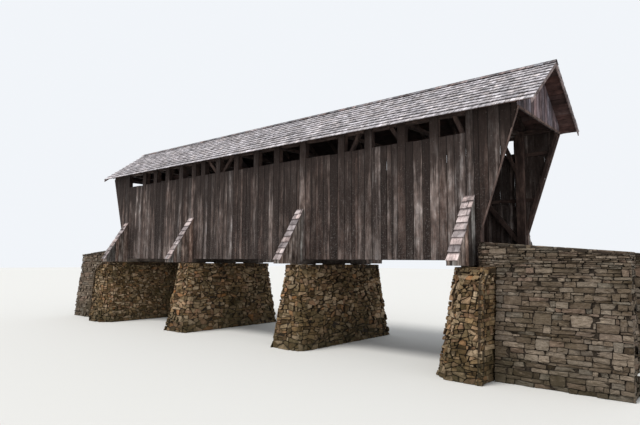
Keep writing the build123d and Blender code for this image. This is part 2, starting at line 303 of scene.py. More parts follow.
def add_board(pile, origin, along, across, left, right, bottom, top, tone, rings, thickness=board_thickness):
    """One sawn board. Its lower and upper ends are (height at left, height at right), and its outer
    face lies on the plane through origin, square to along and across, a little in or out."""
    along, across = np.asarray(along, float), np.asarray(across, float)
    out = np.cross(along, across)
    edge, inner = board_edge, -thickness
    band = min(0.022, (right - left) * 0.2)
    # The last number of each point sets its darkness: 1 on the back face, for painted shade, 0.9 at the outer
    # edges, for grime, 0 across the face.
    half = [(0, edge, inner, 1), (0, 0, inner + edge, 1), (0, 0, -edge, 1)]
    half += [(0, edge, 0, 0.9), (0, band, 0, 0)]
    section = half + [(1, -a, c, d) for _, a, c, d in reversed(half)]
    sides, nudge, out_by, dirt_and_shade = np.array(section, float).T
    wander = 0.0025
    lean = dice.uniform(-0.0015, 0.0015)
    low = bottom[0] + (bottom[1] - bottom[0]) * sides
    high = top[0] + (top[1] - top[0]) * sides
    points, grain = [], []
    for t in np.linspace(0, 1, rings):
        a = low + (high - low) * t
        b = left + (right - left) * sides + nudge + np.repeat(dice.normal(0, wander, 2), 5)
        c = out_by + lean * (sides * 2 - 1) + dice.normal(0, wander / 3)
        points.append(np.asarray(origin) + a[:, None] * along + b[:, None] * across + c[:, None] * out)
        grain.append(np.stack([a, b, c], 1))
    n = len(section)
    faces = [(a, d, c, b) for a, b, c, d in sleeve(rings, n)]
    faces += [tuple(range(n)), tuple(reversed(range((rings - 1) * n, rings * n)))]
    pile.add(np.concatenate(points), faces, np.concatenate(grain), tone, np.tile(dirt_and_shade, rings))


def steps(start, end, limits, longest):
    """Pieces of uneven length, as (from, to), laid until what is left is no longer than the longest."""
    pieces = []
    while end - start > longest:
        stop = start + between(limits)
        pieces.append((start, stop))
        start = stop
    return pieces + [(start, end)]


def widths(start, end, limits):
    """Boards of uneven width, as (from, to), that fill a stretch."""
    *boards, (last, _) = steps(start, end, limits, limits[1] * 1.25)
    if end - last > limits[1]:
        middle = (last + end) / 2
        return boards + [(last, middle), (middle, end)]
    return boards + [(last, end)]


def narrowed(left, right, gap, flip=1):
    """The ends of a stretch with half a gap taken off each, on the other side if flip is -1."""
    return sorted((flip * (left + gap / 2), flip * (right - gap / 2)))


# Materials


class Nodes:
    """A tree whose nodes are added one after another."""

    def __init__(self, tree):
        self.tree = tree

    def node(self, kind, settings=None, **inputs):
        made = self.tree.nodes.new(kind)
        for key, value in (settings or {}).items():
            setattr(made, key, value)
        for key, value in inputs.items():
            self.feed(made.inputs[int(key[1:]) if key[1:].isdigit() else key.replace("_", " ")], value)
        return made

    def feed(self, socket, value):
        if isinstance(value, bpy.types.NodeSocket):
            self.tree.links.new(value, socket)
        else:
            socket.default_value = value

    def maths(self, operation, first, second=0.0, third=0.0):
        made = self.node("ShaderNodeMath", {"operation": operation}, i0=first, i1=second, i2=third)
        return made.outputs[0]

    def times(self, first, second, more=None):
        """One value times another, with something added if it is given."""
        if more is None:
            return self.maths("MULTIPLY", first, second)
        return self.maths("MULTIPLY_ADD", first, second, more)

    def range(self, value, low, high, to_low=0.0, to_high=1.0):
        made = self.node(
            "ShaderNodeMapRange", Value=value, From_Min=low, From_Max=high, To_Min=to_low, To_Max=to_high
        )
        return made.outputs[0]


class Shader(Nodes):
    """A material made of nodes."""

    def __init__(self, name):
        self.material = bpy.data.materials.new(name)
        self.material.use_nodes = True
        super().__init__(self.material.node_tree)
        self.surface = self.tree.nodes["Principled BSDF"].inputs

    def attribute(self, name, output="Fac"):
        return self.node("ShaderNodeAttribute", {"attribute_name": name}).outputs[output]

    def place(self):
        return self.node("ShaderNodeTexCoord").outputs["Object"]

    def along(self, axis):
        return self.node("ShaderNodeSeparateXYZ", Vector=self.place()).outputs[axis]

    def stretch(self, coords, scale):
        return self.node("ShaderNodeVectorMath", {"operation": "MULTIPLY"}, i0=coords, i1=scale).outputs[0]

    def noise(self, coords, scale, detail=4.0, rough=0.55):
        """Noise of one scale, or of one scale for each axis."""
        if isinstance(scale, tuple):
            coords, scale = self.stretch(coords, scale), 1.0
        made = self.node("ShaderNodeTexNoise", Vector=coords, Scale=scale, Detail=detail, Roughness=rough)
        return made.outputs["Fac"]

    def ramp(self, value, *colours, low=0.0, high=1.0):
        """Colours one after another, evenly spaced from low to high."""
        made = self.node("ShaderNodeValToRGB", Fac=value)
        elements = made.color_ramp.elements
        while len(elements) < len(colours):
            elements.new(0.5)
        for i, (element, colour) in enumerate(zip(elements, colours)):
            element.position = low + (high - low) * i / (len(colours) - 1)
            element.color = (*colour, 1)
        return made.outputs["Color"]

    def mix(self, first, second, factor, blend="MIX"):
        made = self.node("ShaderNodeMix", {"data_type": "RGBA", "blend_type": blend})
        self.feed(made.inputs[0], factor)
        for socket, value in ((made.inputs[6], first), (made.inputs[7], second)):
            self.feed(socket, value if isinstance(value, bpy.types.NodeSocket) else (*value, 1))
        return made.outputs[2]

    def shade(self, colour, strength):
        """A colour made lighter or darker."""
        grey = self.node("ShaderNodeCombineColor", i0=strength, i1=strength, i2=strength).outputs[0]
        return self.mix(colour, grey, 1.0, "MULTIPLY")

    def finish(self, colour, height, bump_depth, roughness=0.85):
        bump = self.node("ShaderNodeBump", Height=height, Distance=bump_depth, Strength=1.0)
        self.feed(self.surface["Base Color"], colour)
        self.feed(self.surface["Normal"], bump.outputs[0])
        self.feed(self.surface["Roughness"], roughness)
        self.surface["Specular IOR Level"].default_value = 0.25
        return self.material


soaked_black = (0.017, 0.010, 0.008)
deep_shade = (0.006, 0.004, 0.003)
wood_tints = ((1.18, 0.96, 0.84), (1.06, 0.99, 0.94), (0.95, 1.0, 1.0), (0.90, 1.02, 1.05))


def faded(colour, factor):
    return tuple(min(1, c * factor) for c in colour)


def wood(
    name, dark, middle, pale, turn=None, speckle=0.5, bleach=0.35, contrast=1.0, vary=(0.4, 1.7),
    tints=wood_tints, soaked=None, edge=(0.62, 0.86), within=None, back=0.45, greying=0.0,
):
    """Sawn and weathered wood, with its grain along the piece, or along the turned X axis. Boards
    differ in strength by vary and in tint, darker and greyer ones together as far as greying says.
    soaked is where wet wood begins and is whole, edge where a piece's darker edge does, grime and on
    shingles also painted shadow under the next course, within the X beyond which it lies in the open and
    inside which painted shade darkens it, and back how dark the painted shade on faces turned inside is."""
    shader = Shader(name)
    if turn is None:
        coords = shader.attribute("grain", "Vector")
        tone = shader.attribute("tone")
        depth = shader.attribute("depth")
        # depth is 1 on faces turned inside, given painted shade, and rises towards a piece's edge, where
        # grime and on shingles painted shadow darken it.
        hidden_face_shade = shader.range(depth, 0.94, 1.0)
        dirt_and_shade = shader.times(shader.range(depth, *edge), shader.maths("SUBTRACT", 1.0, hidden_face_shade))
    else:
        coords = shader.node("ShaderNodeMapping", Vector=shader.place(), Rotation=turn).outputs[0]
        tone = shader.noise(coords, (0.15, 1.3, 1.3), 1.0)
        dirt_and_shade = hidden_face_shade = 0.0
    fine = shader.noise(coords, (4.5, 95, 95), 5.0, 0.6)
    streak = shader.noise(coords, (1.6, 24, 24), 5.0, 0.6)
    patch = shader.noise(coords, (1.9, 5, 5), 5.0, 0.65)
    crack = shader.noise(coords, (1.3, 48, 48), 3.0, 0.5)
    grain = shader.times(fine, 0.26, shader.times(streak, 0.26, shader.times(patch, 0.48)))
    reach = 0.135 / contrast
    colour = shader.ramp(shader.range(grain, 0.5 - reach, 0.5 + reach), dark, middle, pale)

    scattered = shader.node(
        "ShaderNodeTexWhiteNoise", {"noise_dimensions": "1D"}, W=shader.times(tone, 917.0)
    ).outputs[0]
    pick = shader.times(tone, greying, shader.times(scattered, 1.0 - greying))
    tint = shader.ramp(pick, *[tuple(c / 2 for c in t) for t in tints])
    weather = shader.noise(shader.place(), (1.3, 1.3, 0.55), 4.0, 0.65)
    blotch = shader.noise(shader.place(), (6, 6, 3.5), 5.0, 0.65)
    strength = shader.times(shader.range(tone, 0, 1, *vary), shader.range(weather, 0.30, 0.50, 1.35, 2.0))
    strength = shader.times(strength, shader.range(blotch, 0.34, 0.66, 0.62, 1.38))
    colour = shader.mix(colour, pale, shader.range(weather, 0.50, 0.78, 0.0, bleach))
    colour = shader.shade(shader.mix(colour, tint, 1.0, "MULTIPLY"), strength)

    if soaked:
        rise = shader.along(2)
        runs = shader.noise(shader.place(), (7, 7, 0.35), 5.0, 0.62)
        spread = shader.noise(shader.place(), (0.8, 0.8, 0.5), 2.0)
        amount = shader.times(shader.range(rise, *soaked), 0.18, shader.times(spread, 0.60, runs))
        colour = shader.mix(colour, soaked_black, shader.range(amount, 0.74, 0.88, 0.0, 0.85))
        splash = shader.noise(shader.place(), (26, 26, 26), 3.0, 0.6)
        foot = shader.range(rise, soaked[1], soaked[0] - 1.4, 0.0, 0.9)
        colour = shader.mix(colour, faded(pale, 0.65), shader.times(shader.range(splash, 0.56, 0.68), foot))
    # Painted shade inside the X given by within, deepest towards the middle.
    if within:
        run = shader.maths("ABSOLUTE", shader.along(0))
        colour = shader.mix(colour, deep_shade, shader.range(run, within, within - 1.6, 0.35, 0.86))
    lines = shader.range(crack, 0.37, 0.31)
    colour = shader.mix(colour, faded(dark, 0.25), shader.times(lines, 0.8))
    dots = shader.noise(coords, (30, 34, 34), 2.0)
    colour = shader.mix(colour, faded(pale, 1.9), shader.range(dots, 0.68, 0.76, 0.0, speckle))
    # Grime, and on shingles painted shadow, towards the edges; painted shade on faces turned inside.
    colour = shader.mix(colour, faded(dark, 0.35), shader.times(dirt_and_shade, 0.85))
    colour = shader.mix(colour, faded(dark, 0.8), shader.times(hidden_face_shade, back))
    height = shader.maths("SUBTRACT", grain, shader.times(lines, 0.6))
    return shader.finish(colour, height, 0.004, 0.88)


stone_brown = (0.060, 0.036, 0.016)
stone_pale = (0.56, 0.43, 0.30)
stone_stain = (0.055, 0.042, 0.014)
stone_damp = (0.035, 0.032, 0.015)


def stone(name, colours, joint_shade_and_dirt, wet=0.6, stretch=(1, 1, 1), laid=True, stain=0.6):
    """Field stone: a colour for each stone, mottled, with grime and painted shade towards each joint,
    and damp below.
    """
    shader = Shader(name)
    place = shader.place()
    tone = shader.attribute("tone") if laid else shader.noise(place, 2.0, 2.0)
    coords = shader.stretch(shader.attribute("grain", "Vector") if laid else place, stretch)
    blotch = shader.noise(coords, 9.0, 5.0, 0.65)
    fine = shader.noise(coords, 55.0, 5.0, 0.7)
    colour = shader.ramp(tone, *colours)
    colour = shader.mix(colour, stone_brown, shader.range(blotch, 0.52, 0.30, 0.0, 0.8))
    colour = shader.mix(colour, stone_pale, shader.range(blotch, 0.56, 0.75, 0.0, 0.5))
    colour = shader.shade(colour, shader.range(fine, 0.3, 0.7, 0.55, 1.35))
    stained = shader.noise(place, (1.0, 0.8, 0.9), 3.0, 0.6)
    colour = shader.mix(colour, stone_stain, shader.range(stained, 0.44, 0.66, 0.0, stain))
    if laid:
        # Grime and painted shade towards the joint.
        colour = shader.mix(colour, joint_shade_and_dirt, shader.times(shader.attribute("depth"), 0.9))
    height = shader.maths("ADD", shader.along(2), shader.range(shader.noise(place, 1.5), 0.3, 0.7, -0.3, 0.3))
    colour = shader.mix(colour, stone_damp, shader.range(height, 0.8, 0.0, 0.0, wet))
    relief = shader.maths("ADD", shader.times(blotch, 0.6), shader.times(fine, 0.4))
    return shader.finish(colour, relief, 0.012, 0.9)


siding_wood = wood(
    "weathered_siding", (0.017, 0.0105, 0.0075), (0.074, 0.054, 0.047), (0.20, 0.176, 0.166),
    tints=((1.20, 0.94, 0.84), (1.08, 0.98, 0.94), (1.0, 1.0, 1.0), (0.90, 1.0, 1.07)),
    speckle=0.4, contrast=0.85, vary=(0.28, 2.45), soaked=(floor_z + 1.6, siding_top_z),
    edge=(0.30, 0.80), back=0.08, greying=0.65,
)
box_wood = wood(
    "buttress_boards", (0.030, 0.020, 0.016), (0.135, 0.104, 0.092), (0.36, 0.32, 0.30),
    contrast=1.3, vary=(0.4, 2.0), edge=(0.35, 0.80),
)
# Darker and bluer than the buttress boards: painted shade and haze on the gable end.
gable_wood = wood(
    "gable_boards", (0.030, 0.021, 0.023), (0.118, 0.093, 0.108), (0.26, 0.22, 0.25),
    contrast=1.1, vary=(0.4, 1.9), edge=(0.35, 0.80),
)
soffit_wood = wood(
    "roof_boards", (0.060, 0.028, 0.026), (0.145, 0.080, 0.074), (0.22, 0.135, 0.125),
    bleach=0.05, speckle=0.1, within=gable_x, back=0.1,
)
shingle_wood = wood(
    "roof_shingles", (0.15, 0.136, 0.140), (0.52, 0.490, 0.510), (0.80, 0.758, 0.78),
    tints=((1.03, 0.99, 0.96), (1.0, 1.0, 1.0), (0.98, 1.0, 1.03), (1.01, 0.99, 1.01)),
    speckle=0.3, contrast=1.1, vary=(0.74, 1.32), edge=(0.56, 0.76),
)
# Darker than the roof shingles: painted shade along the ridge, with weathering.
ridge_wood = wood(
    "ridge_shingles", (0.05, 0.043, 0.047), (0.22, 0.195, 0.21), (0.46, 0.42, 0.44),
    speckle=0.2, contrast=1.3,
)
cover_wood = wood(
    "buttress_shingles", (0.16, 0.12, 0.12), (0.42, 0.36, 0.355), (0.66, 0.60, 0.60),
    tints=((1.06, 0.97, 0.93), (1.0, 1.0, 1.0), (0.98, 1.0, 1.03)),
    speckle=0.2, contrast=0.9, vary=(0.45, 1.36), edge=(0.55, 0.80),
)
plank_wood = wood("deck_planks", (0.07, 0.055, 0.045), (0.2, 0.17, 0.145), (0.34, 0.3, 0.26))
rubble_colours = (
    (0.058, 0.033, 0.013), (0.21, 0.126, 0.056), (0.34, 0.225, 0.115), (0.16, 0.116, 0.062),
    (0.42, 0.305, 0.185), (0.098, 0.068, 0.027), (0.28, 0.160, 0.092), (0.54, 0.410, 0.270),
    (0.34, 0.152, 0.054),
)
ledge_colours = (
    (0.060, 0.042, 0.028), (0.19, 0.144, 0.106), (0.125, 0.095, 0.068), (0.31, 0.247, 0.19),
    (0.19, 0.165, 0.134), (0.225, 0.152, 0.113),
)
# Joint colours: grime and painted shade where stones meet.
ledge_joint_shade_and_dirt = (0.010, 0.007, 0.004)
rubble_stone = stone("rubble_stone", rubble_colours, (0.016, 0.010, 0.005))
ledge_stone = stone("ledge_stone", ledge_colours, ledge_joint_shade_and_dirt, wet=0.5, stretch=(1, 3, 3), stain=0.3)
bearing_stone = stone("bearing_stone", ledge_colours, ledge_joint_shade_and_dirt, wet=0, laid=False, stain=0.3)
core = Shader("rubble_core")
core_noise = core.noise(core.place(), 25.0)
core_colour = core.ramp(core_noise, (0.012, 0.009, 0.006), (0.05, 0.036, 0.024), low=0.3, high=0.7)
core_earth = core.finish(core_colour, core_noise, 0.02)


# Siding, gables and deck


def siding_foot(x):
    """Height of the siding's lower edge at a place along the wall."""
    x = abs(x)
    if x > deck_half - shy:
        return kink_z + (x - deck_half) / jamb_lean
    return siding_low.z if x > apron_x else floor_z


def lay_siding(side, gaps):
    pile = Pile()
    stops = sorted({-deck_half, -apron_x, apron_x, deck_half, *tab_x})
    stops = [-portal_x, *[x for x in stops if abs(x) < portal_x - shy], portal_x]
    for start, end in zip(stops, stops[1:]):
        middle = (start + end) / 2
        full = any(a < middle < b for a, b in zip(tab_x[::2], tab_x[1::2]))
        at_portal = abs(middle) > tab_x[-2]
        kind = "full" if full else "portal" if at_portal else "left" if middle < 0 else "right"
        typical = siding_tones[kind]
        limits = portal_board_widths if at_portal else board_widths
        boards = [(start, end)] if end - start < limits[1] * 1.3 else widths(start, end, limits)
        for left, right in boards:
            gap = slit_gap if side > 0 and dice.random() < slit_share else between(gaps)
            top = full_board_z - full_board_drop if full else siding_top_z - off(0.009)
            if abs(middle) < deck_half:
                feet = [siding_foot(middle) + off(0.003)] * 2
            else:
                feet = [siding_foot(x + (shy if x < middle else -shy)) for x in (right, left)]
            tone = dice.beta(1.1 * typical / (1 - typical), 1.1)
            origin = (0, between((0, board_play)) - wall_y, 0)
            a, b = narrowed(left, right, gap, -1)
            add_board(pile, origin, (0, 0, 1), (-1, 0, 0), a, b, feet, (top, top), tone, 12)
    if side > 0:
        pile.mirror(1)
    name = side_name(side)
    pile.make(f"siding_boards_{name}", siding_wood, "weathered_boards", f"siding_{name}")


def lay_gable(end):
    pile = Pile()
    for side in (-1, 1):
        for left, right in widths(gable_middle_gap, wall_y, narrow_board_widths):
            a, b = narrowed(left, right, between(board_gap), -side)
            tops = [roof_board_under_z - roof_slope * abs(y) for y in (a, b)]
            tone = tone_near(0.45, 0.2)
            origin = (portal_x - between((0, board_play)), 0, 0)
            add_board(pile, origin, (0, 0, 1), (0, -1, 0), a, b, (portal_z,) * 2, tops, tone, 6)
    if end < 0:
        pile.mirror(0)
    name = end_name(end)
    pile.make(f"gable_boards_{name}", gable_wood, "gable_boards", f"gable_{name}")


def lay_deck():
    pile = Pile()
    for left, right in widths(deck_low.x, deck_high.x, plank_widths):
        a, b = narrowed(left, right, between(plank_gap), -1)
        inset = off(0.003)
        tone = tone_near(0.5, 0.2)
        origin = (0, 0, road_z - between((0, board_play)))
        low, high = (deck_low.y + inset,) * 2, (deck_high.y - inset,) * 2
        thickness = road_z - deck_low.z - board_play
        add_board(pile, origin, (0, 1, 0), (-1, 0, 0), a, b, low, high, tone, 8, thickness)
    pile.make("deck_planks", plank_wood, "deck_planks", "deck")


# Roof


def lay_roof_boards(side):
    """Boards under the shingles, along the ridge, in uneven lengths."""
    pile = Pile()
    down = np.array((0, side * cos(roof_angle), -sin(roof_angle)))
    for low, high in widths(0.0, -roof_board_low.y / cos(roof_angle), roof_board_widths):
        for start, end in steps(-roof_board_x, roof_board_x, roof_board_lengths, roof_board_longest):
            tone = tone_near(0.45, 0.2)
            left, right = narrowed(low, high, between(board_gap), side)
            add_board(
                pile, (0, 0, shingle_under_z), (1, 0, 0), side * down, left, right,
                (start + shy,) * 2, (end - shy,) * 2, tone, 8, roof_board_thickness,
            )
    name = side_name(side)
    pile.make(f"roof_boarding_{name}", soffit_wood, "roof_timber", f"roof_boards_{name}")


def slope(foot, angle, side, rise=0.0):
    """A slope as place(across, along, height), with along uphill from its foot. It is lifted by rise,
    square to itself."""
    up = np.array((0, -side * cos(angle), sin(angle)))
    out = np.array((0, side * sin(angle), cos(angle)))
    base = np.array(foot) + out * rise

    def place(across, along, height):
        return base + np.array((-side * across, 0, 0)) + up * along + out * height

    return place


def add_shingle(pile, place, left, right, low, length, butt, lift, tone, taper=0.25, askew=0.004):
    """One split shingle: thick at its lower edge, thin at the head, on place(across, along, height)."""
    lean = dice.normal(0, askew)
    points, grain, depth = [], [], []
    n = 4
    for t in (0.0, 0.06, 1.0):
        thickness = butt + (butt * taper - butt) * t
        for layer in (0, 1):
            for s in np.linspace(0, 1, n):
                wave = dice.normal(0, 0.0018)
                x = left + (right - left) * s + (shy if s in (0, 1) else 0) + lean * t
                up = low + length * t + (dice.normal(0, 0.004) if t < 0.5 else 0)
                height = lift * (1 - t * 0.93) + (thickness if layer else 0) + wave
                if layer and t == 0:
                    height -= 0.003
                points.append(place(x, up, height))
                grain.append((up, x, height))
                # Darkness rises towards the covered head and is whole under the butt: painted shadow under
                # the next course, with grime.
                depth.append(max(t, 0 if layer or t else 1))
    faces = []
    for base in (0, 2 * n):
        after = base + 2 * n
        for i in range(n - 1):
            faces.append((base + n + i, base + n + i + 1, after + n + i + 1, after + n + i))
            faces.append((base + i + 1, base + i, after + i, after + i + 1))
        faces.append((base, base + n, after + n, after))
        faces.append((base + n + n - 1, base + n - 1, after + n - 1, after + n + n - 1))
    faces += [(i, i + 1, n + i + 1, n + i) for i in range(n - 1)]
    pile.add(points, faces, grain, tone, depth)


def lay_shingles(side):
    pile = Pile()
    slope_length = eave_y / cos(roof_angle)
    place = slope((0, side * eave_y, shingle_under_z - roof_slope * eave_y), roof_angle, side)
    courses = int(slope_length / course_exposure)
    step = (slope_length - ridge_margin) / courses
    for course in range(courses):
        phase = dice.uniform(0, 6)
        for left, right in steps(-roof_x, roof_x, shingle_widths, shingle_widths[1] * 1.3):
            middle = (left + right) / 2
            sway = 0.008 * sin(middle * 1.7 + phase) + 0.005 * sin(middle * 4.1 + phase * 2)
            low = course * step + (sway + dice.normal(0, 0.007) if course else off(0.004))
            length = min(shingle_length, slope_length - low)
            butt = shingle_butt + dice.normal(0, 0.0025)
            lift = (shingle_lift if course else 0.0) + off(0.0015)
            tone = tone_near(0.5, 0.24)
            left, right = narrowed(left, right, between(shingle_gap))
            add_shingle(pile, place, left, right, low, length, butt, lift, tone)
    name = side_name(side)
    pile.make(f"shingle_courses_{name}", shingle_wood, "roof_shingles", f"shingles_{name}")


def lay_ridge():
    """Short boards lapped along the ridge, one row on each slope."""
    pile = Pile()
    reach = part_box("ridge_cap")[1].y
    width = reach / cos(roof_angle)
    for side in (-1, 1):
        place = slope((0, side * reach, ridge_z - roof_slope * reach), roof_angle, side)
        for left, right in steps(-roof_x, roof_x, ridge_board_lengths, ridge_board_longest):
            low = off(0.008)
            tone = tone_near(0.45, 0.22)
            butt, lift = ridge_board_thickness, off(0.0015)
            add_shingle(pile, place, left + shy, right - shy, low, width - low, butt, lift, tone, 0.9)
    pile.make("ridge_shingles", ridge_wood, "roof_shingles", "ridge_cap")


# Buttresses


def box_top(y):
    return box_high.z - buttress_slope * (y - wall_y)


def lay_buttresses(side):
    """Upright boards on the two sides and the toe of each box."""
    pile = Pile()
    low = (box_low.z,) * 2
    for x in buttress_x:
        for end in (-1, 1):
            flip = -end * side
            for left, right in widths(wall_y, toe_y, narrow_board_widths):
                a, b = narrowed(left, right, between(board_gap), flip)
                tone = tone_near(0.5, 0.22)
                origin = (x + end * (box_half - between((0, box_board_play))), 0, 0)
                tops = (box_top(abs(a)), box_top(abs(b)))
                add_board(pile, origin, (0, 0, 1), (0, flip * side, 0), a, b, low, tops, tone, 5)
        for left, right in ((toe_inset - box_half, toe_board_stop), (toe_inset, box_half - toe_inset)):
            tone = tone_near(0.5, 0.22)
            origin, tops = (x, side * toe_y, 0), (box_top(toe_y),) * 2
            add_board(pile, origin, (0, 0, 1), (side, 0, 0), left, right, low, tops, tone, 3)
    name = side_name(side)
    pile.make(f"buttress_boards_{name}", box_wood, "weathered_boards", f"buttresses_{name}")


def lay_covers(side):
    """Courses of one or two wide shingles down each buttress."""
    pile = Pile()
    length = (cover_toe_y - wall_y) / cos(buttress_angle)
    thickness = (cover_high.z - box_high.z) * cos(buttress_angle)
    courses = round(length / cover_exposure)
    for x in buttress_x:
        place = slope((x, side * cover_toe_y, cover_foot_z), buttress_angle, side, -thickness)
        for course in range(courses):
            low = course * length / courses + (dice.normal(0, 0.005) if course else 0)
            reach = min(cover_shingle_length, length - low)
            halved = dice.random() < halved_share
            cut = between(cover_cut)
            parts = [(-cover_half, cover_half)]
            if halved:
                parts = [(-cover_half, cut), (cut + cover_gap, cover_half)]
            for left, right in parts:
                tone = tone_near(0.5, 0.3)
                inset = off(0.010)
                start = low + (dice.normal(0, 0.016) if halved and course else 0)
                lift = cover_lift + off(0.004) if course else 0.0
                butt = cover_butt + off(0.003)
                left, right = left + inset, right - inset
                add_shingle(pile, place, left, right, start, reach, butt, lift, tone, askew=0.012)
    name = side_name(side)
    pile.make(f"buttress_shingles_{name}", cover_wood, "buttress_shingles", f"buttress_covers_{name}")


# Masonry


def cut_cell(polygon, nx, ny, limit):
    """What of a convex polygon lies where nx * u + ny * v is under a limit."""
    kept = []
    for (u0, v0), (u1, v1) in zip(polygon, polygon[1:] + polygon[:1]):
        d0 = nx * u0 + ny * v0 - limit
        d1 = nx * u1 + ny * v1 - limit
        if d0 <= 0:
            kept.append((u0, v0))
        if (d0 < 0) != (d1 < 0) and d0 != d1:
            t = d0 / (d0 - d1)
            kept.append((u0 + (u1 - u0) * t, v0 + (v1 - v0) * t))
    return kept


def trimmed(polygon, cuts):
    """What cuts, given as (nx, ny, limit), leave of a polygon."""
    for cut in cuts:
        if len(polygon) > 2:
            polygon = cut_cell(polygon, *cut)
    return polygon


def area(polygon):
    u, v = polygon[:, 0], polygon[:, 1]
    return abs(np.dot(u, np.roll(v, -1)) - np.dot(v, np.roll(u, -1))) / 2


def scatter(span, kind, closed):
    """Places for stones of mixed sizes in a flat stretch, the largest first, none crowding another."""
    width, height = span
    most = int(width * height * sum(share / radius**2 for radius, share in kind["sizes"])) + 8
    spots, radii, count = np.zeros((most, 2)), np.zeros(most), 0
    for radius, share in kind["sizes"]:
        wanted = share * width * height / (pi * radius**2) * overfill
        for _ in range(int(wanted * tries_each) + 3):
            spot, size = dice.uniform((0, 0), (width, height)), radius * between(lump_play)
            apart = np.abs(spots[:count] - spot)
            if closed:
                apart[:, 0] = np.minimum(apart[:, 0], width - apart[:, 0])
            if count < most and not ((apart**2).sum(1) < (crowding * (radii[:count] + size)) ** 2).any():
                spots[count], radii[count] = spot, size
                count += 1
                wanted -= 1
                if wanted < 0:
                    break
    return spots[:count], radii[:count]


def split(polygon, kind):
    """Breaks a convex outline by slanting cuts into stones with straight sides."""
    points = np.array(polygon)
    if sqrt(area(points)) < kind["stone"] * between(break_sizes):
        return [points]
    span_u, span_v = np.ptp(points, axis=0)
    upright = span_u > span_v * kind["aspect"] * dice.uniform(0.75, 1.3)
    angle = dice.normal(0, upright_slant) if upright else pi / 2 + dice.normal(0, level_slant)
    nu, nv = cos(angle), sin(angle)
    reach = points @ (nu, nv)
    limit = reach.min() + np.ptp(reach) * between(break_places)
    half = kind["joint"] * dice.uniform(0.2, 0.8)
    parts = cut_cell(polygon, nu, nv, limit - half), cut_cell(polygon, -nu, -nv, -limit - half)
    return [stone for part in parts if len(part) > 2 for stone in split(part, kind)]


def rows(u_range, v_range, kind, lids):
    """Flat stones laid in uneven rows that sway, some of two rows' height."""
    start, stop = u_range
    levels = [v_range[0]]
    while v_range[1] - levels[-1] > kind["heights"][0]:
        levels.append(levels[-1] + between(kind["heights"]))
    levels[-1] = v_range[1]
    phases = dice.uniform(0, 6, (len(levels), 2))

    def level(k, u):
        sway = 0.011 * sin(u * 2.3 + phases[k][0]) + 0.006 * sin(u * 7.0 + phases[k][1])
        return levels[k] + (sway if 0 < k < len(levels) - 1 else 0)

    made, taken = [], [[] for _ in levels]
    for k in range(len(levels) - 1):
        start = u_range[0]
        while start < stop:
            end = start + between(kind["lengths"])
            if stop - end < kind["lengths"][0]:
                end = stop
            covered = [b for a, b in taken[k] if a - thinnest_stone < start < b]
            if covered:
                start = max(covered)
                continue
            end = min([end, *[a for a, b in taken[k] if start < a < end]])
            tall = k + 2 < len(levels) and end - start > tall_length and dice.random() < tall_share
            if tall:
                taken[k + 1].append((start, end))
            top = k + 2 if tall else k + 1
            half = kind["joint"] * dice.uniform(0.3, 1.2)
            a, b = start + half, end - half
            slant = dice.normal(0, 0.008, 2)
            middle = (a + b) / 2
            polygon = [
                (a + slant[0], level(k, a) + half),
                (middle, level(k, middle) + half),
                (b + slant[1], level(k, b) + half),
                (b - slant[1], level(top, b) - half),
                (middle, level(top, middle) - half),
                (a - slant[0], level(top, a) - half),
            ]
            polygon = trimmed(polygon, [lid[:3] for lid in lids if lid[3] <= middle <= lid[4]])
            if len(polygon) > 2:
                made.append(np.array(polygon))
            start = end
    return made


def cells(u_range, v_range, kind, lids, closed):
    """Uneven stones that fill a stretch of wall, as convex outlines with a joint round each."""
    u0, u1 = u_range
    v0, v1 = v_range
    aspect = kind["aspect"]
    wrap = (u1 - u0) / aspect
    spots, radii = scatter((wrap, v1 - v0), kind, closed)
    flat = spots + (u0 / aspect, v0)
    if closed:
        flat = np.concatenate([flat, flat + (wrap, 0), flat - (wrap, 0)])
        radii = np.tile(radii, 3)
    reach = kind["sizes"][0][0] * 4
    made = []
    for i in range(len(spots)):
        apart = flat - flat[i]
        distance = (apart**2).sum(1)
        su, sv = flat[i, 0] * aspect, flat[i, 1]
        polygon = rectangle(su - reach, su + reach, sv - reach, sv + reach)
        half = kind["joint"] * dice.uniform(0.25, 1.0)
        cuts = []
        for j in np.argsort(distance)[1:22]:
            nu, nv = apart[j]
            limit = (distance[j] + radii[i] ** 2 - radii[j] ** 2) / 2 + nu * flat[i, 0] + nv * flat[i, 1]
            nu = nu / aspect
            size = sqrt(nu * nu + nv * nv)
            cuts.append((nu / size, nv / size, limit / size - half))
        cuts += [(0, 1, v1 - half * 0.4), (0, -1, -v0 - half * 0.4)]
        if not closed:
            cuts += [(1, 0, u1), (-1, 0, -u0)]
        cuts += [lid[:3] for lid in lids if lid[3] <= su <= lid[4]]
        polygon = trimmed(polygon, cuts)
        if len(polygon) > 2:
            made += split(polygon, kind)
    return made


def fold(ring, at):
    """An outline with points added where it crosses a corner of the wall, and its middle on it."""
    after = np.roll(ring, -1, axis=0)
    crossing = (ring[:, 0] - at) * (after[:, 0] - at) < 0
    folded, cross = [], []
    for point, following, crosses in zip(ring, after, crossing):
        folded.append(point)
        if crosses:
            t = (at - point[0]) / (following[0] - point[0])
            cross.append(point + (following - point) * t)
            folded.append(cross[-1])
    return np.array(folded), np.array((at, np.mean([c[1] for c in cross])))


